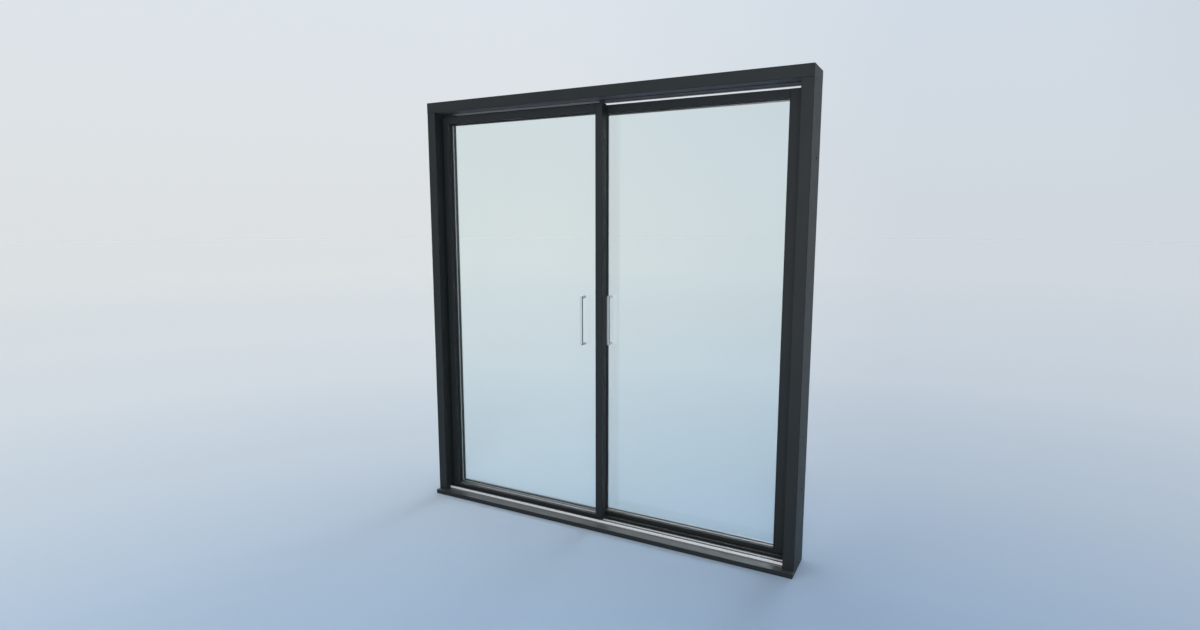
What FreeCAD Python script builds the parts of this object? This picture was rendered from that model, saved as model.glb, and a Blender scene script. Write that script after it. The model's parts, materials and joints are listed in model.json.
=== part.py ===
"""Two-leaf sliding patio door: a frame with a sill, and a glazed leaf on each of two tracks.

The door stands along X and is seen from the -Y side. Z is up, and the origin is on the floor, in the
middle of the overall box. All sizes are in millimetres.
"""
import FreeCAD, Part
import os
import re
import Sketcher

doc = FreeCAD.newDocument("sliding_patio_door")
sheet = doc.addObject("Spreadsheet::Sheet", "sizes")

# Driving dimensions
SIZES = {
    # Outer frame
    "overall_width": 1946,
    "overall_height": 2100,
    "frame_depth": 170,
    "jamb_face": 49,
    "head_face": 51,
    "sill_height": 21,
    "nose_reach": 26,
    "nose_lip": 3,
    "drip_inset": 9,
    "drip_width": 6,
    "drip_depth": 5,
    "plate_thick": 2,
    "edge_round": 1.5,
    # Upstands and running tracks on the sill, measured back from the front of the jambs
    "bar_inset": 32,
    "bar_width": 14.5,
    "upstand_inset": 90,
    "upstand_width": 12,
    "upstand_height": 10,
    "back_upstand_inset": 152,
    "track_width": 5,
    "track_height": 4,
    # Guide grooves in the head
    "groove_width": 8,
    "groove_depth": 18,
    # Fixing holes through the jambs
    "fixing_radius": 5.5,
    "fixing_back": 107,
    "fixing_low": 350,
    "fixing_spacing": 1400,
    # Leaves
    "leaf_depth": 44,
    "leaf_inset": 54,
    "leaf_pitch": 62,
    "leaf_gap": 5,
    "leaf_lift": 5,
    "head_gap": 16.5,
    "front_reach": 22.5,
    "rear_reach": 34,
    "front_lock_stile": 36,
    "rear_lock_stile": 63,
    "meeting_stile": 36.5,
    "top_rail": 37.5,
    "bottom_rail": 21,
    "skirt_depth": 30,
    "skirt_height": 10,
    "slot_inset": 6.5,
    "slot_width": 17,
    "slot_height": 18,
    # Glazing
    "glass_recess": 26,
    "gasket_thick": 1,
    "gasket_width": 7,
    "glass_bite": 8,
    "glass_edge": 1,
    "pane_thick": 4,
    "air_space": 6,
    "spacer_width": 8,
    "sealant_width": 6,
    "bead_fit": 0.2,
    # Pull handles
    "handle_length": 240,
    "handle_height": 1020,
    "handle_section": 11,
    "handle_reach": 39,
    "front_handle_inset": 108.5,
    "rear_handle_inset": 62,
    # Running gear, guides, seals and stops
    "roller_radius": 8,
    "roller_width": 10,
    "flange_height": 1.6,
    "flange_slope": 0.8,
    "tread_fit": 0.4,
    "axle_radius": 3,
    "axle_fit": 0.3,
    "roller_inset": 120,
    "shoe_length": 24,
    "shoe_width": 18,
    "shoe_base": 4,
    "shoe_blade": 6,
    "shoe_engagement": 12,
    "seal_width": 8,
    "seal_fit": 0.5,
    "pile_width": 6,
    "pile_gap": 5,
    "buffer_radius": 9,
    "buffer_length": 15,
    "buffer_low": 150,
    "buffer_drop": 149,
}

# Places worked out from the driving dimensions
PLACES = {
    "face_y": "(nose_reach - frame_depth) / 2",
    "opening": "overall_width / 2 - jamb_face",
    "head_under": "overall_height - head_face",
    "leaf_top": "head_under - head_gap",
    "leaf_bottom": "sill_height + leaf_lift",
    "leaf_height": "leaf_top - leaf_bottom",
    "front_y": "face_y + leaf_inset",
    "rear_y": "front_y + leaf_pitch",
    "run_inset": "slot_inset + slot_width / 2",
    "lip_depth": "glass_recess - gasket_thick",
    "unit_depth": "2 * pane_thick + air_space",
    "bead_depth": "leaf_depth - glass_recess - unit_depth",
    "glass_low": "leaf_bottom + bottom_rail - glass_bite",
    "glass_high": "leaf_top - top_rail + glass_bite",
    "glass_height": "glass_high - glass_low",
    "pane_height": "glass_height - 2 * glass_edge",
}


def expression(text):
    """Write out a formula of size and place names as a formula on the sheet."""
    def written(match):
        word = match.group()
        if word in PLACES:
            return "(" + expression(PLACES[word]) + ")"
        return "sizes." + word
    return re.sub(r"[a-z_]+", written, str(text))


def value(text):
    return float(sheet.evalExpression(expression(text)))


def bind(target, name, text):
    target.setExpression(name, expression(text))


def place(target, x="0", y="0", z="0"):
    for axis, text in zip("xyz", (x, y, z)):
        bind(target, "Placement.Base." + axis, text)


def new_body(label):
    body = doc.addObject("PartDesign::Body", label)
    body.Label = label
    return body


def sketch_outline(body, plane, points, offset="0"):
    """Draw a closed outline of straight lines, each corner held by its two formulas."""
    sketch = body.newObject("Sketcher::SketchObject", body.Name + "_outline")
    support = [item for item in body.Origin.OriginFeatures if item.Role == plane][0]
    sketch.AttachmentSupport = (support, [""])
    sketch.MapMode = "FlatFace"
    bind(sketch, "AttachmentOffset.Base.z", offset)
    corners = [FreeCAD.Vector(value(across), value(up), 0) for across, up in points]
    count = len(corners)
    for index in range(count):
        sketch.addGeometry(Part.LineSegment(corners[index], corners[(index + 1) % count]), False)
    for index in range(count):
        sketch.addConstraint(Sketcher.Constraint("Coincident", index, 2, (index + 1) % count, 1))
    for index, (across, up) in enumerate(points):
        hold_corner(sketch, index, "DistanceX", across, -2)
        hold_corner(sketch, index, "DistanceY", up, -1)
    return sketch


def hold_corner(sketch, index, kind, text, axis):
    if text == "0":
        sketch.addConstraint(Sketcher.Constraint("PointOnObject", index, 1, axis))
        return
    number = sketch.addConstraint(Sketcher.Constraint(kind, -1, 1, index, 1, value(text)))
    bind(sketch, "Constraints[%d]" % number, text)


def pad(body, sketch, length, backwards=False):
    feature = body.newObject("PartDesign::Pad", body.Name + "_pad")
    feature.Profile = sketch
    feature.Reversed = backwards
    bind(feature, "Length", length)
    doc.recompute()
    return feature


def pocket(body, sketch, depth, backwards=False):
    """Cut an outline into a body, and stop if it takes nothing away."""
    before = body.Shape.Volume
    feature = body.newObject("PartDesign::Pocket", body.Name + "_pocket")
    feature.Profile = sketch
    feature.Reversed = backwards
    bind(feature, "Length", depth)
    doc.recompute()
    if body.Shape.Volume >= before:
        raise RuntimeError(body.Label + ": the pocket cuts nothing")
    return feature


def round_long_edges(body, feature, direction, corners, radius="edge_round"):
    """Round the edges that run along a direction through the given corners of the outline."""
    wanted = []
    for number, edge in enumerate(feature.Shape.Edges, 1):
        along = edge.Vertexes[-1].Point - edge.Vertexes[0].Point
        if along.Length < 1e-6 or abs(along.normalize() * direction) < 0.999:
            continue
        start = edge.Vertexes[0].Point
        across = start - direction * (start * direction)
        if any((across - corner).Length < 0.01 for corner in corners):
            wanted.append("Edge%d" % number)
    rounding = body.newObject("PartDesign::Fillet", body.Name + "_round")
    rounding.Base = (feature, wanted)
    bind(rounding, "Radius", radius)
    doc.recompute()
    return rounding


PLANES = {
    "x": ("YZ_Plane", FreeCAD.Vector(1, 0, 0), lambda across, up: FreeCAD.Vector(0, across, up)),
    "y": ("XZ_Plane", FreeCAD.Vector(0, 1, 0), lambda across, up: FreeCAD.Vector(across, 0, up)),
    "z": ("XY_Plane", FreeCAD.Vector(0, 0, 1), lambda across, up: FreeCAD.Vector(across, up, 0)),
}


def extrusion(label, axis, points, length, rounded=(), radius="edge_round"):
    """A bar of one section along X, Y or Z, with some of its corners rounded."""
    plane, direction, turn = PLANES[axis]
    body = new_body(label)
    sketch = sketch_outline(body, plane, points)
    feature = pad(body, sketch, length, backwards=axis == "y")
    if rounded:
        corners = [turn(value(points[index][0]), value(points[index][1])) for index in rounded]
        round_long_edges(body, feature, direction, corners, radius)
    return body


def rectangle(width, height):
    return [("0", "0"), (width, "0"), (width, height), ("0", height)]


def box(name, length, width, height, x, y, z):
    solid = doc.addObject("Part::Box", name)
    bind(solid, "Length", length)
    bind(solid, "Width", width)
    bind(solid, "Height", height)
    place(solid, x, y, z)
    return solid


def group(label, solids):
    joined = doc.addObject("Part::Compound", label)
    joined.Label = label
    joined.Links = solids
    return joined


# Outer frame

def make_sill():
    depth = "frame_depth + nose_reach"
    under = "sill_height - plate_thick"
    drip = "drip_inset + drip_width"
    points = [("0", "0"), ("drip_inset", "0"), ("drip_inset", "drip_depth"), (drip, "drip_depth"),
              (drip, "0"), (depth, "0"), (depth, under), ("nose_lip", under), ("nose_lip", "sill_height"),
              ("0", "sill_height")]
    sill = extrusion("sill", "x", points, "overall_width", rounded=(9,))
    place(sill, "-overall_width / 2", "face_y - nose_reach", "0")
    plate = extrusion("threshold_plate", "x", rectangle("frame_depth + nose_reach - nose_lip", "plate_thick"),
                      "overall_width")
    place(plate, "-overall_width / 2", "face_y - nose_reach + nose_lip", "sill_height - plate_thick")
    return [sill, plate]


def make_upstands():
    bars = []
    for label, inset, width in (("front_weather_bar", "bar_inset", "bar_width"),
                                ("middle_upstand", "upstand_inset", "upstand_width"),
                                ("back_upstand", "back_upstand_inset", "upstand_width")):
        bar = extrusion(label, "x", rectangle(width, "upstand_height"), "2 * opening", rounded=(2, 3))
        place(bar, "-opening", "face_y + " + inset, "sill_height")
        bars.append(bar)
    return bars


def make_track(label, leaf_y):
    track = extrusion(label, "x", rectangle("track_width", "track_height"), "2 * opening", rounded=(2, 3))
    place(track, "-opening", leaf_y + " + run_inset - track_width / 2", "sill_height")
    return track


def make_jamb(label, x):
    jamb = extrusion(label, "z", rectangle("jamb_face", "frame_depth"), "head_under - sill_height",
                     rounded=(0, 1, 2, 3))
    for number in range(2):
        sketch = jamb.newObject("Sketcher::SketchObject", label + "_hole")
        sketch.AttachmentSupport = ([item for item in jamb.Origin.OriginFeatures
                                     if item.Role == "YZ_Plane"][0], [""])
        sketch.MapMode = "FlatFace"
        height = "fixing_low - sill_height + %d * fixing_spacing" % number
        centre = FreeCAD.Vector(value("fixing_back"), value(height), 0)
        sketch.addGeometry(Part.Circle(centre, FreeCAD.Vector(0, 0, 1), value("fixing_radius")), False)
        for kind, text in (("DistanceX", "fixing_back"), ("DistanceY", height)):
            row = sketch.addConstraint(Sketcher.Constraint(kind, -1, 1, 0, 3, value(text)))
            bind(sketch, "Constraints[%d]" % row, text)
        row = sketch.addConstraint(Sketcher.Constraint("Radius", 0, value("fixing_radius")))
        bind(sketch, "Constraints[%d]" % row, "fixing_radius")
        pocket(jamb, sketch, "jamb_face", backwards=True)
    place(jamb, x, "face_y", "sill_height")
    return jamb


def make_head():
    """A bar across both jambs, with a groove over each leaf that stops at the jambs."""
    head = extrusion("head", "x", rectangle("frame_depth", "head_face"), "overall_width",
                     rounded=(0, 1, 2, 3))
    left, right = "jamb_face", "overall_width - jamb_face"
    for inset in ("leaf_inset", "leaf_inset + leaf_pitch"):
        near = inset + " + (leaf_depth - groove_width) / 2"
        far = inset + " + (leaf_depth + groove_width) / 2"
        groove = [(left, near), (right, near), (right, far), (left, far)]
        pocket(head, sketch_outline(head, "XY_Plane", groove), "groove_depth", backwards=True)
    place(head, "-overall_width / 2", "face_y", "head_under")
    return head


def make_buffers(label, leaf_y, x):
    stops = []
    for height in ("buffer_low", "head_under - buffer_drop"):
        stop = doc.addObject("Part::Cylinder", label + "_stop")
        bind(stop, "Radius", "buffer_radius")
        bind(stop, "Height", "buffer_length")
        stop.Placement = FreeCAD.Placement(FreeCAD.Vector(), FreeCAD.Rotation(FreeCAD.Vector(0, 1, 0), 90))
        place(stop, x, leaf_y + " + leaf_depth / 2", height)
        stops.append(stop)
    return group(label, stops)


# Leaves

def make_stile(label, width, glass_side, x, y):
    """A full-height stile, with a foot that clears the upstand behind it and a rebate for the glass."""
    stile = extrusion(label, "z", rectangle(width, "leaf_depth"), "leaf_height", rounded=(0, 1, 2, 3))
    foot = [("skirt_depth", "0"), ("leaf_depth", "0"), ("leaf_depth", "skirt_height"),
            ("skirt_depth", "skirt_height")]
    pocket(stile, sketch_outline(stile, "YZ_Plane", foot), width, backwards=True)
    near, far = ("0", "glass_bite") if glass_side == "left" else (width + " - glass_bite", width)
    low, high = "glass_low - leaf_bottom", "glass_high - leaf_bottom"
    rebate = [(near, low), (far, low), (far, high), (near, high)]
    pocket(stile, sketch_outline(stile, "XZ_Plane", rebate, "-leaf_depth"), "leaf_depth - lip_depth",
           backwards=True)
    place(stile, x, y, "leaf_bottom")
    return stile


def make_top_rail(label, x, y, length):
    points = [("0", "0"), ("lip_depth", "0"), ("lip_depth", "glass_bite"), ("leaf_depth", "glass_bite"),
              ("leaf_depth", "top_rail"), ("0", "top_rail")]
    rail = extrusion(label, "x", points, length, rounded=(0, 4, 5))
    place(rail, x, y, "leaf_top - top_rail")
    return rail


def make_bottom_rail(label, x, y, length):
    """The rail's skirt runs down between the upstands, round a slot for the rollers."""
    slot_far = "slot_inset + slot_width"
    points = [("0", "0"), ("slot_inset", "0"), ("slot_inset", "slot_height"), (slot_far, "slot_height"),
              (slot_far, "0"), ("skirt_depth", "0"), ("skirt_depth", "skirt_height"),
              ("leaf_depth", "skirt_height"), ("leaf_depth", "bottom_rail - glass_bite"),
              ("lip_depth", "bottom_rail - glass_bite"), ("lip_depth", "bottom_rail"), ("0", "bottom_rail")]
    rail = extrusion(label, "x", points, length, rounded=(0, 11))
    place(rail, x, y, "leaf_bottom")
    return rail


def make_glazing(name, left, right, y):
    """Two panes on a spacer, gasket strips in front and glazing beads behind.

    Left and right are the edges of the rebates that hold the glass.
    """
    width = "(%s) - (%s)" % (right, left)
    pane_left = left + " + glass_edge"
    pane_width = width + " - 2 * glass_edge"
    pane_low = "glass_low + glass_edge"
    outer = extrusion(name + "_outer_pane", "y", rectangle(pane_width, "pane_height"), "pane_thick")
    place(outer, pane_left, y + " + glass_recess", pane_low)
    inner = extrusion(name + "_inner_pane", "y", rectangle(pane_width, "pane_height"), "pane_thick")
    place(inner, pane_left, y + " + glass_recess + pane_thick + air_space", pane_low)
    spacer = make_strips(name + "_spacer", pane_left + " + sealant_width",
                         pane_width + " - 2 * sealant_width", pane_low + " + sealant_width",
                         "pane_height - 2 * sealant_width", "spacer_width",
                         y + " + glass_recess + pane_thick", "air_space")
    gaskets = make_strips(name + "_gaskets", left, width, "glass_low", "glass_height", "gasket_width",
                          y + " + lip_depth", "gasket_thick")
    beads = make_strips(name + "_glazing_beads", left, width, "glass_low", "glass_height", "glass_bite",
                        y + " + leaf_depth - bead_depth", "bead_depth")
    return [outer, inner, spacer, gaskets, beads]


def make_strips(label, left, width, low, height, strip, y, depth):
    """Four strips round a rectangle: two uprights, and two between them."""
    between = "%s - 2 * %s - 2 * bead_fit" % (width, strip)
    inset = "%s + %s + bead_fit" % (left, strip)
    return group(label, [
        box(label + "_left", strip, depth, height, left, y, low),
        box(label + "_right", strip, depth, height, "%s + %s - %s" % (left, width, strip), y, low),
        box(label + "_low", between, depth, strip, inset, y, low),
        box(label + "_high", between, depth, strip, inset, y, "%s + %s - %s" % (low, height, strip)),
    ])


def make_handle(label, x, y):
    """A square bar bent back to the glass at both ends."""
    top_arm = "handle_length - handle_section"
    points = [("0", "0"), ("handle_reach", "0"), ("handle_reach", "handle_section"),
              ("handle_section", "handle_section"), ("handle_section", top_arm), ("handle_reach", top_arm),
              ("handle_reach", "handle_length"), ("0", "handle_length")]
    handle = extrusion(label, "x", points, "handle_section", rounded=(0, 7))
    place(handle, x + " - handle_section / 2", y + " + glass_recess - handle_reach",
          "handle_height - handle_length / 2")
    return handle


def make_rollers(label, left, right, y):
    """Two wheels on axles across the rail's slot, each with a groove that runs on the track."""
    rollers = []
    for x in (left + " + roller_inset", right + " - roller_inset"):
        body = new_body(label + "_wheel")
        span = "slot_width - 2 * axle_fit"
        near, far = "(slot_width - roller_width) / 2 - axle_fit", "(slot_width + roller_width) / 2 - axle_fit"
        middle = "slot_width / 2 - axle_fit"
        tread = "(track_width / 2 + tread_fit)"
        rim = "roller_radius + flange_height"
        points = [("0", "0"), (span, "0"), (span, "axle_radius"), (far, "axle_radius"), (far, rim),
                  ("%s + %s + flange_slope" % (middle, tread), rim),
                  ("%s + %s" % (middle, tread), "roller_radius"),
                  ("%s - %s" % (middle, tread), "roller_radius"),
                  ("%s - %s - flange_slope" % (middle, tread), rim),
                  (near, rim), (near, "axle_radius"), ("0", "axle_radius")]
        sketch = sketch_outline(body, "YZ_Plane", points)
        turned = body.newObject("PartDesign::Revolution", body.Name + "_turned")
        turned.Profile = sketch
        turned.ReferenceAxis = (sketch, ["H_Axis"])
        turned.Angle = 360
        place(body, x, y + " + slot_inset + axle_fit",
              "sill_height + track_height + axle_fit + roller_radius")
        rollers.append(body)
    doc.recompute()
    return group(label, rollers)


def make_shoes(label, left, right, y):
    """A guide at each end of the leaf's top, whose blade runs in the groove of the head."""
    shoes = []
    reach = "head_under - leaf_top + shoe_engagement"
    near, far = "(shoe_width - shoe_blade) / 2", "(shoe_width + shoe_blade) / 2"
    points = [("0", "0"), ("shoe_width", "0"), ("shoe_width", "shoe_base"), (far, "shoe_base"), (far, reach),
              (near, reach), (near, "shoe_base"), ("0", "shoe_base")]
    for x in (left, right + " - shoe_length"):
        shoe = extrusion(label + "_shoe", "x", points, "shoe_length", rounded=(4, 5))
        place(shoe, x, y + " + (leaf_depth - shoe_width) / 2", "leaf_top")
        shoes.append(shoe)
    return group(label, shoes)


def make_edge_seal(label, x, y):
    seal = extrusion(label, "z", rectangle("leaf_gap - seal_fit", "seal_width"), "leaf_height")
    place(seal, x, y + " + (leaf_depth - seal_width) / 2", "leaf_bottom")
    return seal


def make_leaf(name, left, right, left_stile, right_stile, y, handle_x, seal_x):
    left_name, right_name = ("_lock_stile", "_meeting_stile")
    if name == "rear":
        left_name, right_name = right_name, left_name
    rail_left = left + " + " + left_stile
    rail_length = "(%s) - (%s) - %s - %s" % (right, left, left_stile, right_stile)
    glass_left = rail_left + " - glass_bite"
    glass_right = "%s - %s + glass_bite" % (right, right_stile)
    return [
        make_stile(name + left_name, left_stile, "right", left, y),
        make_stile(name + right_name, right_stile, "left", "%s - %s" % (right, right_stile), y),
        make_top_rail(name + "_top_rail", rail_left, y, rail_length),
        make_bottom_rail(name + "_bottom_rail", rail_left, y, rail_length),
        *make_glazing(name, glass_left, glass_right, y),
        make_handle(name + "_handle", handle_x, y),
        make_rollers(name + "_rollers", rail_left, rail_left + " + " + rail_length, y),
        make_shoes(name + "_guide_shoes", left, right, y),
        make_edge_seal(name + "_edge_seal", seal_x, y),
    ]


def make_draught_strip():
    """The strip on the rear leaf, in the middle of the lap of the two meeting stiles."""
    proud = "leaf_pitch - leaf_depth - pile_gap"
    strip = extrusion("rear_draught_strip", "z", rectangle("pile_width", proud), "leaf_height")
    place(strip, "(front_reach - rear_reach - pile_width) / 2", "rear_y - (%s)" % proud, "leaf_bottom")
    return strip


for row, (alias, number) in enumerate(SIZES.items(), 1):
    sheet.set("A%d" % row, alias)
    sheet.set("B%d" % row, str(number))
    sheet.setAlias("B%d" % row, alias)
doc.recompute()

front_left, front_right = "-opening + leaf_gap", "front_reach"
rear_left, rear_right = "-rear_reach", "opening - leaf_gap"
parts = [
    *make_sill(),
    *make_upstands(),
    make_track("front_track", "front_y"),
    make_track("rear_track", "rear_y"),
    make_jamb("left_jamb", "-overall_width / 2"),
    make_jamb("right_jamb", "opening"),
    make_head(),
    make_buffers("front_buffers", "front_y", "opening - buffer_length"),
    make_buffers("rear_buffers", "rear_y", "-opening"),
    *make_leaf("front", front_left, front_right, "front_lock_stile", "meeting_stile", "front_y",
               front_right + " - front_handle_inset", front_left + " - leaf_gap + seal_fit"),
    *make_leaf("rear", rear_left, rear_right, "meeting_stile", "rear_lock_stile", "rear_y",
               rear_left + " + rear_handle_inset", rear_right),
    make_draught_strip(),
]
doc.recompute()

for item in doc.Objects:
    if "Invalid" in item.State or "Error" in item.State:
        raise RuntimeError(item.Label + " failed")
for part in parts:
    if part.Shape.isNull() or not part.Shape.isValid():
        raise RuntimeError(part.Label + " has no valid shape")

os.makedirs("parts", exist_ok=True)
for part in parts:
    part.Shape.exportStep("parts/%s.step" % part.Label)
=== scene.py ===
"""Sliding patio door: finishes, seals, small fittings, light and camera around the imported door."""
import json
import math
import random

import bmesh
import bpy
from mathutils import Matrix, Vector


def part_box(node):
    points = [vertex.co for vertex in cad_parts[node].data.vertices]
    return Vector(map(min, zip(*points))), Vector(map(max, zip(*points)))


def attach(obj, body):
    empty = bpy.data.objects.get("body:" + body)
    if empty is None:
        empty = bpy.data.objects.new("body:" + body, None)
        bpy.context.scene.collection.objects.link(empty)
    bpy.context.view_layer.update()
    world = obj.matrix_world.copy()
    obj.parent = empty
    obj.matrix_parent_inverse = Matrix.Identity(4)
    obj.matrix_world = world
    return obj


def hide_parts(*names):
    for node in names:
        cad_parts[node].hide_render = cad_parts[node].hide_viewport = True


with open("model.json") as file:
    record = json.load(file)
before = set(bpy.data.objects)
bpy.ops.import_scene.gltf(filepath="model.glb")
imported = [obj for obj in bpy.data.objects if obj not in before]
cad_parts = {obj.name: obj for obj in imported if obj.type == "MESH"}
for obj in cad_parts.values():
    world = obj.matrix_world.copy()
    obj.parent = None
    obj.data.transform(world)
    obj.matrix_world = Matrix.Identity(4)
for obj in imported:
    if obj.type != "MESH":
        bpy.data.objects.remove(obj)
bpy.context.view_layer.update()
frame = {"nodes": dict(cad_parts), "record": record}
scene = bpy.context.scene

# Camera, in metres and degrees, with its lens in millimetres
CAMERA_PLACE = (1.51266, -2.83566, 1.50096)
CAMERA_YAW = 28.05
CAMERA_PITCH = 7.97
CAMERA_LENS = 20.266
SENSOR_WIDTH = 36.0

# Floor, in metres, with its colours from close to the camera to far away
FLOOR_RADIUS = 60.0
FLOOR_SIDES = 96
FLOOR_NEAR = 2.4
FLOOR_FAR = 20.0
FLOOR_SHADES = (
    (0.0, (0.37, 0.48, 0.62)),
    (0.11, (0.6, 0.665, 0.73)),
    (0.25, (0.78, 0.808, 0.825)),
    (0.4, (0.85, 0.862, 0.862)),
    (1.0, (0.93, 0.914, 0.884)),
)

# Sky: its colours and its lift from the horizon up
SKY_SHADES = (
    (0.0, (0.72, 0.75, 0.77)),
    (0.3, (0.73, 0.78, 0.83)),
    (0.6, (0.82, 0.86, 0.9)),
    (1.0, (0.98, 1.0, 1.0)),
)
SKY_LIFT = 1.65
SKY_LIFT_FROM = 0.35

# Sky: the dim side toward the viewer, the glow behind the door and the cool right side
DIM_SIDE = (0.55, -0.83, 0.0)
DIM_FROM = -0.75
DIM_TO = 0.3
DIM_MOST = 0.6
DIM_HEIGHT = 0.3
GLOW_WAY = (0.044, 0.838, 0.545)
GLOW_LIFT = 7.0
GLOW_EDGE = 0.966
GLOW_CORE = 0.996
COOL_FROM = -0.53
COOL_TO = -0.07
COOL_SKY = (0.88, 0.915, 0.955)
COOL_FLOOR = (0.86, 0.885, 0.925)

# Lamps, in metres and watts
LAMP_TARGET = (0.0, 0.0, 1.0)
LAMPS = {
    "key_lamp": {"place": (-2.4, -3.6, 4.2), "size": 2.6, "power": 20.0, "colour": (1.0, 0.985, 0.96)},
    "fill_lamp": {"place": (1.7, -4.8, 1.7), "size": 2.0, "power": 90.0, "colour": (1.0, 1.0, 1.0)},
}

# Colours of the finishes, from their darker to their paler patches
COAT = ((0.0135, 0.017, 0.018), (0.017, 0.0208, 0.0222))
PLATE = ((0.09, 0.095, 0.097), (0.12, 0.125, 0.127))
RAIL = ((0.88, 0.89, 0.9), (0.95, 0.955, 0.96))
SPACER = ((0.4, 0.41, 0.42), (0.48, 0.49, 0.5))
STEEL = ((0.68, 0.71, 0.73), (0.79, 0.82, 0.84))
GLASS = ((0.945, 0.98, 0.972), (0.955, 0.988, 0.984))
RUBBER = ((0.01, 0.01, 0.011), (0.018, 0.018, 0.02))
PILE = ((0.02, 0.02, 0.022), (0.05, 0.05, 0.055))
NYLON = ((0.014, 0.014, 0.015), (0.021, 0.021, 0.023))

# Painted shade along edges and painted light under the head, in metres and as cosines of a face's tilt
# Painted shade: a dark colour with little shine along every edge and crease
PAINTED_EDGE_SHADE = (0.006, 0.0075, 0.008)
EDGE_SHADE_REACH = 0.0035
EDGE_TURNED = 0.93
EDGE_FLAT = 0.998
EDGE_SAMPLES = 6
# Painted light: a paler colour on the faces of the head that look down
PAINTED_LIGHT_UNDER_HEAD = (0.08, 0.084, 0.096)
SOFFIT_DOWN = -0.97
SOFFIT_TURNED = -0.8
SOFFIT_FADE_FROM = 0.004
SOFFIT_FADE_TO = 0.001

# Dust on ledges, which also paints in the sky light that faces looking up catch, in metres and as cosines of
# a face's tilt
DUST_AND_SKY_LIGHT = (0.25, 0.265, 0.265)
DUST_AND_LIGHT_TILTED = 0.6
DUST_AND_LIGHT_FLAT = 0.95
DUST_AND_LIGHT_LOW = 0.05
DUST_AND_LIGHT_HIGH = 0.4
DUST_AND_LIGHT_COVER_LOW = 0.22
DUST_AND_LIGHT_COVER_HIGH = 0.08

# Sockets of the two colours and the result of a Mix node
MIX_FIRST = 6
MIX_SECOND = 7
MIX_RESULT = 2

# Glazing, in metres
PANE_BITE = 0.007
GASKET_GAP = 0.001
GASKET_DEEP = 0.007
OUTER_LIP = 0.0015
INNER_LIP = 0.0012
LIP_STEPS = 5
BEAD_ROUND = 0.0022

# Glazing ledges, in metres
LEDGE_SETBACK = 0.0175
LEDGE_FRONT = 0.0006
LEDGE_BACK = 0.003

# Bright strip on the weather bar, in metres
STRIP_THICK = 0.0008
STRIP_RETURN = 0.0022
STRIP_CLEAR = 0.0004

# Handle pads, in metres
PAD_RIM = 0.001
PAD_THICK = 0.002
PAD_ROUND = 0.0006

# Dark rubber strips on the sides of the handles, put in for the shade along the bar's sides, in metres
SHADE_STRIP_SETBACK = 0.0042
SHADE_STRIP_WIDTH = 0.0045
SHADE_STRIP_END = 0.0015
SHADE_STRIP_PROUD = 0.0006
SHADE_STRIP_STEPS = 8

# Edge seals, in metres, with the bulb's width as a share of the foot's
SEAL_FOOT = 0.0012
BULB_WIDTH = 0.72
BULB_STEPS = 12

# Pile strip, in metres, with places of tufts in steps and their lengths as shares
PILE_BACKING = 0.0015
PILE_ROWS = 4
PILE_STEP = 0.0028
PILE_FIRST = 0.75
PILE_STAGGER = 0.5
PILE_SEED = 3
TUFT_SHORT = 0.86
TUFT_LONG = 0.99
TUFT_LEAN = 0.1
TUFT_SIDES = 5
TUFT_ROOT = 0.00045
TUFT_TIP = 0.0008

# Stop buffers, in metres, with places along them and their narrower radii as shares
BUFFER_RADIUS = 0.009
BUFFER_STEPS = 32
COLLAR_TO = 0.2
WAIST_FROM = 0.27
WAIST_TO = 0.5
WAIST_RADIUS = 0.8
NOSE_FROM = 0.62
NOSE_RADIUS = 0.92
NOSE_STEPS = 6

LEAVES = {"front": "front_leaf", "rear": "rear_leaf"}


# Ways to build a finish

def finish(name, **sockets):
    """A new material with plain values set on its shader; gives the material, its tree and the shader."""
    material = bpy.data.materials.new(name)
    material.use_nodes = True
    shader = material.node_tree.nodes["Principled BSDF"]
    for socket, value in sockets.items():
        shader.inputs[socket.replace("_", " ")].default_value = value
    return material, material.node_tree, shader


def add(tree, kind, inputs, **settings):
    """A node of this kind, with its sockets given plain values or links."""
    node = tree.nodes.new("ShaderNode" + kind)
    for name, value in settings.items():
        setattr(node, name, value)
    for socket, value in inputs.items():
        if isinstance(value, bpy.types.NodeSocket):
            tree.links.new(value, node.inputs[socket])
        else:
            node.inputs[socket].default_value = value
    return node


def connect(tree, shader, **sources):
    """Link sources to the sockets of a shader."""
    for socket, source in sources.items():
        tree.links.new(source, shader.inputs[socket.replace("_", " ")])


def noise(tree, scale, detail=2.0, stretch=(1.0, 1.0, 1.0)):
    """Noise from 0 to 1 over the piece's own coordinates, stretched along the axes."""
    place = add(tree, "TexCoord", {}).outputs["Object"]
    turned = add(tree, "Mapping", {"Vector": place, "Scale": stretch}).outputs["Vector"]
    return add(tree, "TexNoise", {"Vector": turned, "Scale": scale, "Detail": detail}).outputs["Fac"]


def between(tree, source, start, end, start_at=0.0, end_at=1.0):
    """A number that goes from start to end as the source goes from start_at to end_at."""
    inputs = {"Value": source, "From Min": start_at, "From Max": end_at, "To Min": start, "To Max": end}
    return add(tree, "MapRange", inputs).outputs["Result"]


def product(tree, first, second):
    """Two numbers multiplied."""
    return add(tree, "Math", {0: first, 1: second}, operation="MULTIPLY").outputs[0]


def total(tree, first, second):
    """Two numbers added."""
    return add(tree, "Math", {0: first, 1: second}, operation="ADD").outputs[0]


def dot(tree, first, second):
    """How far two directions agree, from -1 to 1."""
    return add(tree, "VectorMath", {0: first, 1: second}, operation="DOT_PRODUCT").outputs["Value"]


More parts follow.
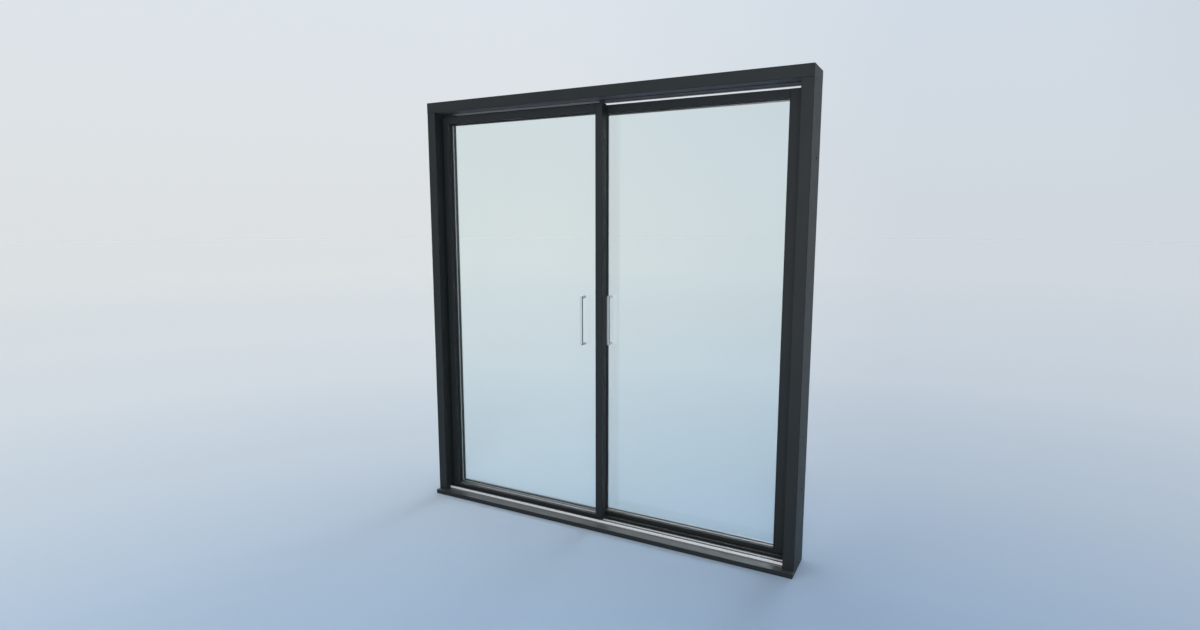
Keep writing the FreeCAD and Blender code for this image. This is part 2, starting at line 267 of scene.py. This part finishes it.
def shades(tree, source, *stops):
    """A colour from the source, through stops of a place from 0 to 1 and a colour."""
    ramp = add(tree, "ValToRGB", {"Fac": source})
    while len(ramp.color_ramp.elements) < len(stops):
        ramp.color_ramp.elements.new(0.5)
    for element, (place, colour) in zip(ramp.color_ramp.elements, stops):
        element.position = place
        element.color = (*colour, 1.0)
    return ramp.outputs["Color"]


def mottled(tree, source, dark, pale, dark_at=0.3, pale_at=0.7):
    """A colour that goes from dark to pale with the source."""
    return shades(tree, source, (dark_at, dark), (pale_at, pale))


def tinted(tree, share, colour, other, blend="MIX"):
    """One colour going over to another, or multiplied by it, by a share from 0 to 1."""
    mix = add(tree, "Mix", {"Factor": share}, data_type="RGBA", blend_type=blend)
    tree.links.new(colour, mix.inputs[MIX_FIRST])
    mix.inputs[MIX_SECOND].default_value = (*other, 1.0)
    return mix.outputs[MIX_RESULT]


def bump(tree, height, strength, distance, normal=None):
    """The normal of a surface that is raised by a height."""
    inputs = {"Height": height, "Strength": strength, "Distance": distance}
    if normal:
        inputs["Normal"] = normal
    return add(tree, "Bump", inputs).outputs["Normal"]


def soft_edge(tree, radius):
    """The normal that a small round on every edge would give."""
    return add(tree, "Bevel", {"Radius": radius}, samples=EDGE_SAMPLES).outputs["Normal"]


def face_normal(tree):
    """The direction that the face looks in."""
    return add(tree, "NewGeometry", {}).outputs["Normal"]


def facing_up(tree):
    """How far the face looks up, from -1 to 1."""
    return add(tree, "SeparateXYZ", {0: face_normal(tree)}).outputs["Z"]


def height_over_floor(tree):
    """Metres above the floor, on the closed door."""
    place = add(tree, "TexCoord", {}).outputs["Object"]
    return add(tree, "SeparateXYZ", {0: place}).outputs["Z"]


def edge_share(tree, radius):
    """1 on the edges of the piece, falling to 0 within the radius."""
    turned = dot(tree, soft_edge(tree, radius), face_normal(tree))
    return between(tree, turned, 1.0, 0.0, EDGE_TURNED, EDGE_FLAT)


def cooled(tree, colour, way, tint):
    """The colour, dimmer and cooler toward the right of the view; way is the direction from the viewer."""
    across = add(tree, "SeparateXYZ", {0: way}).outputs["X"]
    return tinted(tree, between(tree, across, 0.0, 1.0, COOL_FROM, COOL_TO), colour, tint, "MULTIPLY")


# Finishes

def dust_and_sky_light_share(tree):
    """A thin film of dust on faces that look up, thickest close to the ground, which also paints in sky
    light on those faces.
    """
    flat = between(tree, facing_up(tree), 0.0, 1.0, DUST_AND_LIGHT_TILTED, DUST_AND_LIGHT_FLAT)
    low = between(tree, height_over_floor(tree), DUST_AND_LIGHT_COVER_LOW, DUST_AND_LIGHT_COVER_HIGH, DUST_AND_LIGHT_LOW, DUST_AND_LIGHT_HIGH)
    patches = between(tree, noise(tree, scale=14.0, detail=5.0), 0.6, 1.0, start_at=0.3, end_at=0.6)
    return product(tree, product(tree, flat, low), patches)


def painted_soffit_light_share(tree):
    """1 on the faces of the head that look straight down, where light from below is painted in as a paler
    colour.
    """
    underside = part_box("head")[0].z
    down = between(tree, facing_up(tree), 1.0, 0.0, SOFFIT_DOWN, SOFFIT_TURNED)
    at_head = between(tree, height_over_floor(tree), 0.0, 1.0, underside - SOFFIT_FADE_FROM,
                      underside - SOFFIT_FADE_TO)
    return product(tree, down, at_head)


def powder_coat():
    """Fine-textured satin anthracite, with painted shade along its edges, painted light under the head, and
    dust with painted sky light on its ledges.
    """
    material, tree, shader = finish("anthracite_powder_coat")
    body = mottled(tree, noise(tree, scale=5.0, detail=4.0), *COAT)
    # Painted light: the head's underside is given a paler colour
    with_painted_soffit_light = tinted(tree, painted_soffit_light_share(tree), body, PAINTED_LIGHT_UNDER_HEAD)
    # Painted shade: a dark line with less shine along every edge and crease, broken into patches
    patches = between(tree, noise(tree, scale=60.0, detail=4.0), 0.75, 1.0, start_at=0.3, end_at=0.6)
    edge = product(tree, edge_share(tree, EDGE_SHADE_REACH), patches)
    with_edge_shade = tinted(tree, edge, with_painted_soffit_light, PAINTED_EDGE_SHADE)
    # Dust, which also paints sky light onto up-facing faces near the ground
    colour = tinted(tree, dust_and_sky_light_share(tree), with_edge_shade, DUST_AND_SKY_LIGHT)
    shine = between(tree, edge, 0.3, 0.06)
    rough = between(tree, noise(tree, scale=24.0, detail=4.0), 0.5, 0.62)
    grain = noise(tree, scale=1100.0, detail=1.0)
    skin = bump(tree, grain, strength=0.22, distance=0.0003, normal=soft_edge(tree, radius=0.0012))
    connect(tree, shader, Base_Color=colour, Specular_IOR_Level=shine, Roughness=rough, Normal=skin)
    return material


def drawn_aluminium(name, colours, smooth, rough, bare=1.0):
    """Aluminium with fine lines along the bar from drawing and brushing, bare or under a satin oxide."""
    material, tree, shader = finish(name, Metallic=bare)
    lines = noise(tree, scale=900.0, detail=3.0, stretch=(0.004, 1.0, 1.0))
    mixed = total(tree, lines, noise(tree, scale=7.0, detail=3.0))
    share = between(tree, mixed, 0.0, 1.0, start_at=0.6, end_at=1.4)
    gloss = between(tree, mixed, smooth, rough, start_at=0.6, end_at=1.4)
    skin = bump(tree, lines, strength=0.12, distance=0.0002, normal=soft_edge(tree, radius=0.0008))
    colour = mottled(tree, share, *colours, dark_at=0.0, pale_at=1.0)
    connect(tree, shader, Base_Color=colour, Roughness=gloss, Normal=skin)
    return material


def brushed_steel():
    """Satin stainless steel with the brush's lines along the upright bars."""
    material, tree, shader = finish("brushed_steel", Metallic=0.5)
    lines = noise(tree, scale=1200.0, detail=3.0, stretch=(1.0, 1.0, 0.006))
    gloss = between(tree, lines, 0.34, 0.48)
    skin = bump(tree, lines, strength=0.1, distance=0.0002, normal=soft_edge(tree, radius=0.0012))
    connect(tree, shader, Base_Color=mottled(tree, lines, *STEEL), Roughness=gloss, Normal=skin)
    return material


def float_glass():
    """Clear glass with a faint blue-green body and the slight waves of toughened panes."""
    material, tree, shader = finish("float_glass", Roughness=0.0, IOR=1.4, Transmission_Weight=1.0)
    cloud = noise(tree, scale=1.5, detail=2.0)
    waves = noise(tree, scale=2.2, detail=1.0, stretch=(1.0, 1.0, 0.4))
    connect(tree, shader, Base_Color=mottled(tree, cloud, *GLASS, dark_at=0.2, pale_at=0.8),
            Normal=bump(tree, waves, strength=0.02, distance=0.01))
    return material


def rubber():
    """Matt black rubber with a fine skin."""
    material, tree, shader = finish("black_rubber", Specular_IOR_Level=0.35)
    cloud = noise(tree, scale=40.0, detail=4.0)
    gloss = between(tree, cloud, 0.5, 0.7)
    skin = bump(tree, noise(tree, scale=1600.0, detail=2.0), strength=0.2, distance=0.0002)
    connect(tree, shader, Base_Color=mottled(tree, cloud, *RUBBER), Roughness=gloss, Normal=skin)
    return material


def pile():
    """Dense grey-black fibres that stand out from their backing."""
    material, tree, shader = finish("grey_pile", Specular_IOR_Level=0.2, Sheen_Weight=0.4,
                                    Sheen_Roughness=0.4)
    fibres = noise(tree, scale=2200.0, detail=2.0, stretch=(1.0, 0.08, 1.0))
    gloss = between(tree, fibres, 0.8, 0.95)
    skin = bump(tree, fibres, strength=0.6, distance=0.0006)
    connect(tree, shader, Base_Color=mottled(tree, fibres, *PILE), Roughness=gloss, Normal=skin)
    return material


def nylon():
    """Moulded black nylon with a slight grain."""
    material, tree, shader = finish("moulded_nylon", Specular_IOR_Level=0.45)
    cloud = noise(tree, scale=60.0, detail=3.0)
    gloss = between(tree, cloud, 0.38, 0.5)
    grain = noise(tree, scale=1500.0, detail=1.0)
    skin = bump(tree, grain, strength=0.12, distance=0.0002, normal=soft_edge(tree, radius=0.0006))
    connect(tree, shader, Base_Color=mottled(tree, cloud, *NYLON), Roughness=gloss, Normal=skin)
    return material


def studio_floor():
    """Plain pale floor, bluer close to the camera."""
    material, tree, shader = finish("studio_floor", Roughness=0.9, Specular_IOR_Level=0.1)
    place = add(tree, "TexCoord", {}).outputs["Object"]
    start = (CAMERA_PLACE[0], CAMERA_PLACE[1], 0.0)
    far = add(tree, "VectorMath", {0: place, 1: start}, operation="DISTANCE").outputs["Value"]
    colour = shades(tree, between(tree, far, 0.0, 1.0, FLOOR_NEAR, FLOOR_FAR), *FLOOR_SHADES)
    offset = add(tree, "VectorMath", {0: place, 1: start}, operation="SUBTRACT").outputs["Vector"]
    way = add(tree, "VectorMath", {0: offset}, operation="NORMALIZE").outputs["Vector"]
    connect(tree, shader, Base_Color=cooled(tree, colour, way, COOL_FLOOR))
    return material


FINISHES = {
    "anthracite": powder_coat(),
    "sill_plate": drawn_aluminium("satin_anodised", PLATE, smooth=0.28, rough=0.36, bare=0.55),
    "track_rail": drawn_aluminium("bright_drawn", RAIL, smooth=0.42, rough=0.54, bare=0.15),
    "glass": float_glass(),
    "spacer": drawn_aluminium("mill_aluminium", SPACER, smooth=0.3, rough=0.45),
    "seal": rubber(),
    "pile": pile(),
    "steel": brushed_steel(),
    "nylon": nylon(),
}


def dress_nodes():
    """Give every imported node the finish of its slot, and let daylight through the panes."""
    for part in frame["record"]["subparts"]:
        node = frame["nodes"][part["node"]]
        node.data.materials.clear()
        node.data.materials.append(FINISHES[part["material_slot"]])
        node.visible_shadow = part["material_slot"] != "glass"


# Ways to build a piece

def piece(name, shape, body, slot, *replaced):
    """Turn a finished shape into a piece that rides on a body and has the finish of a slot."""
    bmesh.ops.remove_doubles(shape, verts=shape.verts, dist=1e-6)
    bmesh.ops.recalc_face_normals(shape, faces=shape.faces)
    mesh = bpy.data.meshes.new(name)
    shape.to_mesh(mesh)
    shape.free()
    mesh.materials.append(FINISHES[slot])
    made = bpy.data.objects.new(name, mesh)
    scene.collection.objects.link(made)
    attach(made, body)
    if replaced:
        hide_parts(*replaced)


def join(target, shape):
    """Add a finished shape to another one."""
    mesh = bpy.data.meshes.new("joined")
    shape.to_mesh(mesh)
    shape.free()
    target.from_mesh(mesh)
    bpy.data.meshes.remove(mesh)


def only(items, kind):
    """The items of one kind, such as edges, out of what an operator made."""
    return [item for item in items if isinstance(item, kind)]


def quarter_round(radius, steps):
    """Points of a quarter circle about a corner, from one side to the other."""
    angles = [math.pi / 2 * step / steps for step in range(steps + 1)]
    return [(radius * math.cos(angle), radius * math.sin(angle)) for angle in angles]


def mitred_frame(low, high, y, section):
    """A frame round an upright rectangle from a closed section, mitred at its four corners.

    A point of the section is how far it lies inside the rectangle, and how far along Y from it.
    """
    shape = bmesh.new()
    middle, half = (low + high) / 2, (high - low) / 2
    places = ((low.x, low.z), (high.x, low.z), (high.x, high.z), (low.x, high.z))
    corners = [shape.verts.new((x, y, z)) for x, z in places]
    edges = [shape.edges.new((corners[i - 1], corners[i])) for i in range(4)]

    def move(verts, inside, along):
        for vert in verts:
            right = math.copysign(half.x - inside, vert.co.x - middle.x)
            up = math.copysign(half.z - inside, vert.co.z - middle.z)
            vert.co = (middle.x + right, y + along, middle.z + up)

    move(corners, *section[0])
    for inside, along in section[1:] + section[:1]:
        made = bmesh.ops.extrude_edge_only(shape, edges=edges)["geom"]
        edges = only(made, bmesh.types.BMEdge)
        move(only(made, bmesh.types.BMVert), inside, along)
    return shape


def turned_profile(shape, profile, place, direction):
    """Spin a profile of points along and out from an axis along X or Y into a closed solid."""
    direction = Vector(direction)
    out = Vector((0, 0, 1))
    verts = [shape.verts.new(Vector(place) + direction * along + out * radius) for along, radius in profile]
    edges = [shape.edges.new(pair) for pair in zip(verts, verts[1:])]
    bmesh.ops.spin(shape, geom=verts + edges, cent=place, axis=direction, angle=2 * math.pi,
                   steps=BUFFER_STEPS, use_merge=True)


def drawn(shape, outline, way):
    """Draw a closed outline of places along a way into a straight bar."""
    face = shape.faces.new([shape.verts.new(corner) for corner in outline])
    made = bmesh.ops.extrude_face_region(shape, geom=[face])["geom"]
    bmesh.ops.translate(shape, verts=only(made, bmesh.types.BMVert), vec=way)


def upright_bar(shape, section, z_low, z_high):
    """A straight bar along Z from a closed section of places in the plan."""
    drawn(shape, [(x, y, z_low) for x, y in section], (0, 0, z_high - z_low))


def level_bar(shape, section, x_low, x_high):
    """A straight bar along X from a closed section of places seen from the side."""
    drawn(shape, [(x_low, y, z) for y, z in section], (x_high - x_low, 0, 0))


# Trim round the glass and on the sill

def glass_sight(leaf):
    """The rectangle of glass that shows between the rails and stiles, and the unit's two faces."""
    low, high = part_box(leaf + "_outer_pane")
    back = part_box(leaf + "_inner_pane")[1].y
    inset = Vector((PANE_BITE, 0, PANE_BITE))
    return low + inset, high - inset, low.y, back


def seal_glass(leaf):
    """A gasket with a rounded lip in front of the glass, and a smaller lip behind it."""
    low, high, front, back = glass_sight(leaf)
    lip = [(inside, -along) for inside, along in quarter_round(OUTER_LIP, LIP_STEPS)]
    tongue = [(0, -GASKET_GAP), (-GASKET_DEEP, -GASKET_GAP), (-GASKET_DEEP, 0)]
    shape = mitred_frame(low, high, front, lip + tongue)
    piece(leaf + "_outer_gasket", shape, LEAVES[leaf], "seal", leaf + "_gaskets")
    shape = mitred_frame(low, high, back, [(0, 0)] + quarter_round(INNER_LIP, LIP_STEPS))
    piece(leaf + "_inner_gasket", shape, LEAVES[leaf], "seal")


def bead_glass(leaf):
    """A glazing bead behind the glass, mitred at its corners and rounded toward the room."""
    low, high = glass_sight(leaf)[:2]
    near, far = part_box(leaf + "_glazing_beads")
    width, depth = low.x - near.x, far.y - near.y
    nose = [(inside - BEAD_ROUND, depth - BEAD_ROUND + along)
            for inside, along in quarter_round(BEAD_ROUND, LIP_STEPS)]
    shape = mitred_frame(low, high, near.y, [(-width, 0), (0, 0), *nose, (-width, depth)])
    piece(leaf + "_mitred_beads", shape, LEAVES[leaf], "anthracite", leaf + "_glazing_beads")


def lay_ledge(leaf):
    """A thin sloping strip that sheds water from the glass over the bottom rail."""
    low, high, glass = glass_sight(leaf)[:3]
    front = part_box(leaf + "_bottom_rail")[0].y + LEDGE_SETBACK
    back = glass - OUTER_LIP
    section = [(front, low.z), (back, low.z), (back, low.z + LEDGE_BACK), (front, low.z + LEDGE_FRONT)]
    shape = bmesh.new()
    level_bar(shape, section, low.x, high.x)
    piece(leaf + "_glazing_ledge", shape, LEAVES[leaf], "spacer")


def trim_weather_bar():
    """A bright strip over the front of the weather bar, turned over its top edge."""
    low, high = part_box("front_weather_bar")
    front, back = low.y - STRIP_THICK, low.y + STRIP_RETURN
    bottom, top = low.z + STRIP_CLEAR, high.z + STRIP_THICK
    nose = [(low.y - out, high.z + up) for out, up in quarter_round(STRIP_THICK, LIP_STEPS)]
    section = [(low.y, bottom), (front, bottom), *nose, (back, top), (back, high.z), (low.y, high.z)]
    shape = bmesh.new()
    level_bar(shape, section, low.x + STRIP_CLEAR, high.x - STRIP_CLEAR)
    piece("weather_bar_strip", shape, "frame", "track_rail")


# Handles

def bond_handle(leaf):
    """Square steel pads with soft edges, where the handle's arms are bonded to the glass."""
    low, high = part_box(leaf + "_handle")
    arm = high.x - low.x
    glass = glass_sight(leaf)[2]
    width = arm + 2 * PAD_RIM
    size = Matrix.Diagonal((width, PAD_THICK, width, 1.0))
    pads = bmesh.new()
    for z in (low.z + arm / 2, high.z - arm / 2):
        place = Matrix.Translation(((low.x + high.x) / 2, glass - PAD_THICK / 2, z))
        pad = bmesh.new()
        bmesh.ops.create_cube(pad, size=1.0, matrix=place @ size)
        bmesh.ops.bevel(pad, geom=pad.edges[:], offset=PAD_ROUND, affect="EDGES", segments=2, profile=0.5,
                        material=-1)
        join(pads, pad)
    piece(leaf + "_handle_pads", pads, LEAVES[leaf], "steel")


def shade_handle_sides(leaf):
    """A domed dark rubber strip along each side of the handle's bar, put in for the shade on its sides."""
    low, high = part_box(leaf + "_handle")
    half = SHADE_STRIP_WIDTH / 2
    middle = low.y + SHADE_STRIP_SETBACK + half
    arc = [math.pi * step / SHADE_STRIP_STEPS for step in range(SHADE_STRIP_STEPS + 1)]
    shape = bmesh.new()
    for side, out in ((low.x, -SHADE_STRIP_PROUD), (high.x, SHADE_STRIP_PROUD)):
        section = [(side + out * math.sin(angle), middle - half * math.cos(angle)) for angle in arc]
        upright_bar(shape, section, low.z + SHADE_STRIP_END, high.z - SHADE_STRIP_END)
    # Painted shade: dark strips put where the bar's sides fall into shade
    piece(leaf + "_handle_shade_strips", shape, LEAVES[leaf], "seal")


# Edge seals, pile and buffers

def bulb_seal(leaf, side):
    """A rounded bulb on a flat foot along the edge of the lock stile."""
    low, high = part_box(leaf + "_edge_seal")
    base, tip = (high.x, low.x) if side == "left" else (low.x, high.x)
    neck = base + math.copysign(SEAL_FOOT, tip - base)
    middle = (low.y + high.y) / 2
    half = BULB_WIDTH * (high.y - low.y) / 2
    arc = [math.pi * step / BULB_STEPS - math.pi / 2 for step in range(BULB_STEPS + 1)]
    bulb = [(neck + (tip - neck) * math.cos(angle), middle + half * math.sin(angle)) for angle in arc]
    foot = [(neck, high.y), (base, high.y), (base, low.y), (neck, low.y)]
    shape = bmesh.new()
    upright_bar(shape, bulb + foot, low.z, high.z)
    piece(leaf + "_bulb_seal", shape, LEAVES[leaf], "seal", leaf + "_edge_seal")


def pile_strip():
    """Tufts in rows on a backing, between the meeting stiles."""
    low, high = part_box("rear_draught_strip")
    root = high.y - PILE_BACKING
    shape = bmesh.new()
    upright_bar(shape, [(low.x, root), (high.x, root), (high.x, high.y), (low.x, high.y)], low.z, high.z)
    wind = random.Random(PILE_SEED)
    length = root - low.y
    across = (high.x - low.x) / PILE_ROWS
    lying = Matrix.Rotation(math.pi / 2, 4, "X")
    for number in range(int((high.z - low.z) / PILE_STEP) - 1):
        tufts = bmesh.new()
        for row in range(PILE_ROWS):
            tuft = length * wind.uniform(TUFT_SHORT, TUFT_LONG)
            turn = Matrix.Rotation(wind.uniform(-TUFT_LEAN, TUFT_LEAN), 4, "Z")
            lean = turn @ Matrix.Rotation(wind.uniform(-TUFT_LEAN, TUFT_LEAN), 4, "X")
            x = low.x + across * (row + 0.5)
            z = low.z + PILE_STEP * (number + PILE_FIRST + PILE_STAGGER * (row % 2))
            place = Matrix.Translation((x, root, z)) @ lean @ lying @ Matrix.Translation((0, 0, tuft / 2))
            bmesh.ops.create_cone(tufts, cap_ends=True, segments=TUFT_SIDES, radius1=TUFT_ROOT,
                                  radius2=TUFT_TIP, depth=tuft, matrix=place)
        join(shape, tufts)
    piece("rear_pile_strip", shape, "rear_leaf", "pile", "rear_draught_strip")


def rubber_buffers(name, side):
    """Turned rubber stops with a waist and a rounded nose."""
    low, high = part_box(name)
    base, tip = (high.x, low.x) if side == "right" else (low.x, high.x)
    length = abs(tip - base)
    radius, waist, neck = BUFFER_RADIUS, BUFFER_RADIUS * WAIST_RADIUS, BUFFER_RADIUS * NOSE_RADIUS
    nose = [(length * (NOSE_FROM + (1 - NOSE_FROM) * along), neck * out)
            for out, along in quarter_round(1.0, NOSE_STEPS)]
    profile = [(0, 0), (0, radius), (length * COLLAR_TO, radius), (length * WAIST_FROM, waist),
               (length * WAIST_TO, waist)] + nose
    shape = bmesh.new()
    for z in (low.z + radius, high.z - radius):
        turned_profile(shape, profile, (base, (low.y + high.y) / 2, z), (1 if tip > base else -1, 0, 0))
    piece(name.replace("_buffers", "_stop_buffers"), shape, "frame", "seal", name)


# Studio

def lay_floor():
    """A wide round floor under the door."""
    shape = bmesh.new()
    bmesh.ops.create_circle(shape, cap_ends=True, segments=FLOOR_SIDES, radius=FLOOR_RADIUS)
    mesh = bpy.data.meshes.new("studio_floor")
    shape.to_mesh(mesh)
    shape.free()
    floor = bpy.data.objects.new("studio_floor", mesh)
    scene.collection.objects.link(floor)
    mesh.materials.append(studio_floor())


def light_room():
    """A pale sky all round, brighter overhead, with a soft glow high behind the door.

    It is dimmer on the side of the viewer.
    """
    world = bpy.data.worlds.new("studio")
    scene.world = world
    world.use_nodes = True
    tree = world.node_tree
    way = add(tree, "TexCoord", {}).outputs["Generated"]
    height = add(tree, "SeparateXYZ", {0: way}).outputs["Z"]
    aside = between(tree, dot(tree, way, DIM_SIDE), 0.0, 1.0, DIM_FROM, DIM_TO)
    raised = between(tree, height, 0.0, DIM_MOST, 0.0, DIM_HEIGHT)
    left_over = between(tree, product(tree, aside, raised), 1.0, 0.0)
    lift = between(tree, height, 1.0, SKY_LIFT, SKY_LIFT_FROM, 1.0)
    glow = between(tree, dot(tree, way, GLOW_WAY), 0.0, GLOW_LIFT, GLOW_EDGE, GLOW_CORE)
    strength = total(tree, product(tree, left_over, lift), glow)
    sky = cooled(tree, shades(tree, height, *SKY_SHADES), way, COOL_SKY)
    connect(tree, tree.nodes["Background"], Color=sky, Strength=strength)


def soft_lamp(name, place, size, power, colour):
    """A large square lamp turned to the middle of the door, which doesn't show through the glass."""
    lamp = bpy.data.lights.new(name, "AREA")
    lamp.shape = "SQUARE"
    lamp.size = size
    lamp.energy = power
    lamp.color = colour
    holder = bpy.data.objects.new(name, lamp)
    holder.location = place
    holder.rotation_euler = (Vector(LAMP_TARGET) - Vector(place)).to_track_quat("-Z", "Y").to_euler()
    holder.visible_transmission = False
    scene.collection.objects.link(holder)


def set_camera():
    """The camera, turned left from +Y by its yaw and down by its pitch."""
    yaw = math.radians(CAMERA_YAW)
    pitch = math.radians(CAMERA_PITCH)
    look = Vector((-math.sin(yaw) * math.cos(pitch), math.cos(yaw) * math.cos(pitch), -math.sin(pitch)))
    lens = bpy.data.cameras.new("camera")
    lens.lens = CAMERA_LENS
    lens.sensor_fit = "HORIZONTAL"
    lens.sensor_width = SENSOR_WIDTH
    camera = bpy.data.objects.new("camera", lens)
    camera.location = CAMERA_PLACE
    camera.rotation_euler = look.to_track_quat("-Z", "Y").to_euler()
    scene.collection.objects.link(camera)
    scene.camera = camera


dress_nodes()
for leaf in LEAVES:
    seal_glass(leaf)
    bead_glass(leaf)
    lay_ledge(leaf)
    bond_handle(leaf)
    shade_handle_sides(leaf)
trim_weather_bar()
bulb_seal("front", "left")
bulb_seal("rear", "right")
pile_strip()
rubber_buffers("front_buffers", "right")
rubber_buffers("rear_buffers", "left")
lay_floor()
light_room()
for name, lamp in LAMPS.items():
    soft_lamp(name, **lamp)
set_camera()
scene.view_settings.view_transform = "Standard"
